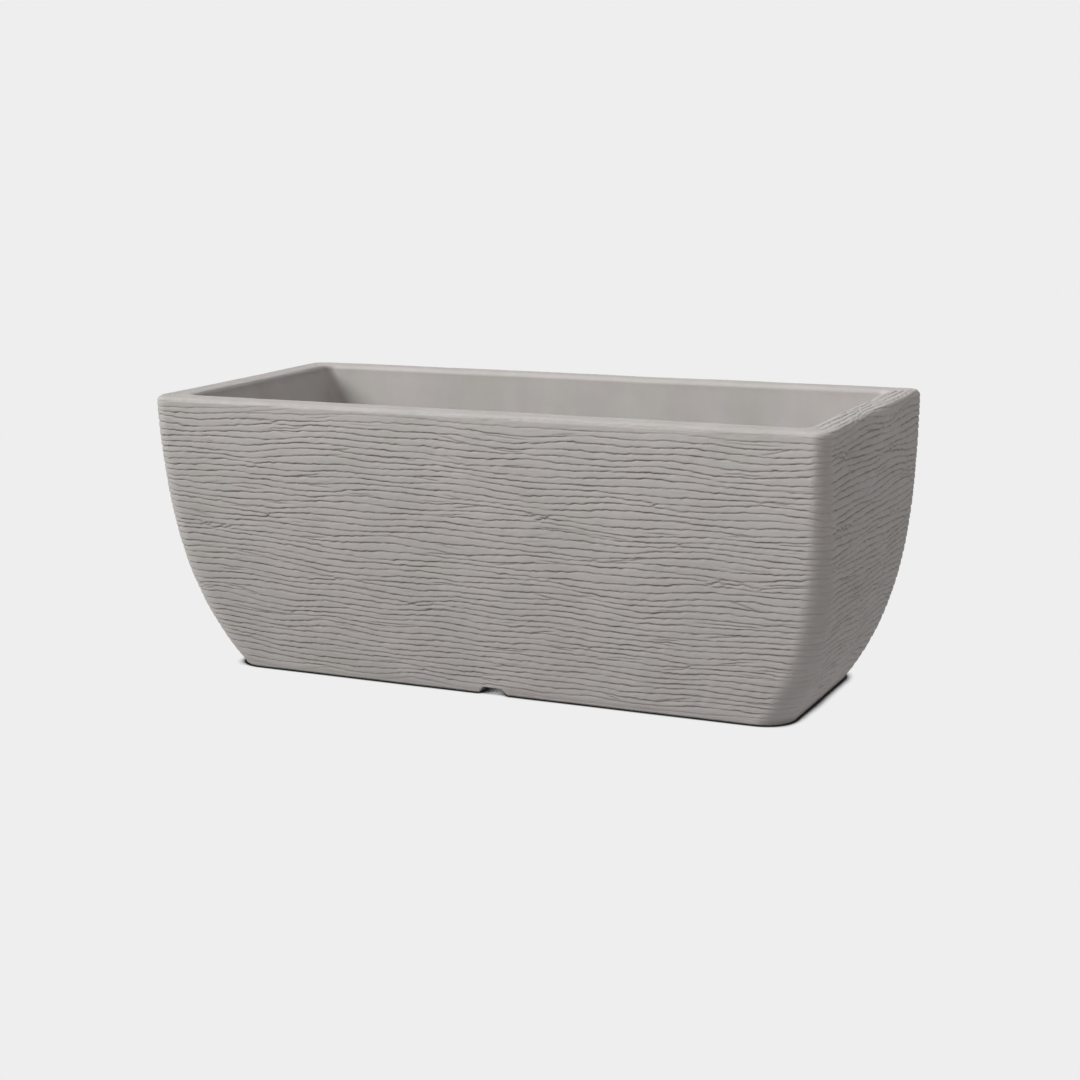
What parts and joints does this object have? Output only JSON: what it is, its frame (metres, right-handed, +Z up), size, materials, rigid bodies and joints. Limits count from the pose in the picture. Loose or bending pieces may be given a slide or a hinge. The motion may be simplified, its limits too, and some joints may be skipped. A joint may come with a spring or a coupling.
{
  "type": "self watering planter",
  "caption": "Rectangular double-walled trough planter with rippled sides, a water reservoir under lift-out soil platforms, wicking baskets, a lidded fill tube and a float gauge.",
  "frame": {"origin": "on the ground, under the middle of the tub", "axes": "+X along the length, +Y across to the back, +Z up; the fill tube is in the front right corner, at +X and -Y"},
  "size_m": [0.7, 0.3218, 0.284],
  "materials": {
    "moulded_stone": "matte, rippled like layered stone outside, smooth inside",
    "tray_plastic": "fine moulded grain",
    "tube_plastic": "satin extruded",
    "trim_plastic": "satin moulded",
    "seal_rubber": "soft matte",
    "pin_steel": "drawn wire",
    "clear_cap": "clear moulded plastic",
    "float_plastic": "moulded foam and rod",
    "red_plastic": "gloss"
  },
  "bodies": {
    "tub": {"planter_body": "moulded_stone", "overflow_seal": "seal_rubber", "overflow_standpipe": "tube_plastic", "overflow_strainer": "trim_plastic"},
    "platform_left": {"soil_platform_left": "tray_plastic", "wick_basket_1": "tray_plastic", "wick_basket_2": "tray_plastic", "platform_leg_1": "tray_plastic", "platform_leg_2": "tray_plastic", "platform_leg_3": "tray_plastic", "platform_leg_4": "tray_plastic"},
    "platform_right": {"soil_platform_right": "tray_plastic", "wick_basket_3": "tray_plastic", "wick_basket_4": "tray_plastic", "platform_leg_5": "tray_plastic", "platform_leg_6": "tray_plastic", "platform_leg_7": "tray_plastic", "platform_leg_8": "tray_plastic", "fill_tube": "tube_plastic", "fill_collar": "trim_plastic", "fill_lid_pin": "pin_steel", "gauge_tube": "tube_plastic", "gauge_cap": "clear_cap", "tube_clip": "trim_plastic"},
    "lid": {"fill_lid": "trim_plastic"},
    "float": {"gauge_float": "float_plastic", "gauge_rod": "float_plastic", "gauge_tip": "red_plastic"},
    "plug": {"drain_plug": "trim_plastic", "drain_plug_seal": "seal_rubber"}
  },
  "joints": [
    {"name": "platform_left_lift", "type": "slide", "parent": "tub", "child": "platform_left", "axis": [0, 0, 1], "range_m": [0, 0.272]},
    {"name": "platform_right_lift", "type": "slide", "parent": "tub", "child": "platform_right", "axis": [0, 0, 1], "range_m": [0, 0.272]},
    {"name": "fill_lid_hinge", "type": "hinge", "parent": "platform_right", "child": "lid", "pos_m": [0.212, -0.0495, 0.2558], "axis": [-1, 0, 0], "range_deg": [0, 110]},
    {"name": "float_rise", "type": "slide", "parent": "platform_right", "child": "float", "axis": [0, 0, 1], "range_m": [0, 0.042]},
    {"name": "drain_plug_pull", "type": "slide", "parent": "tub", "child": "plug", "axis": [0, 0, 1], "range_m": [0, 0.03]}
  ]
}
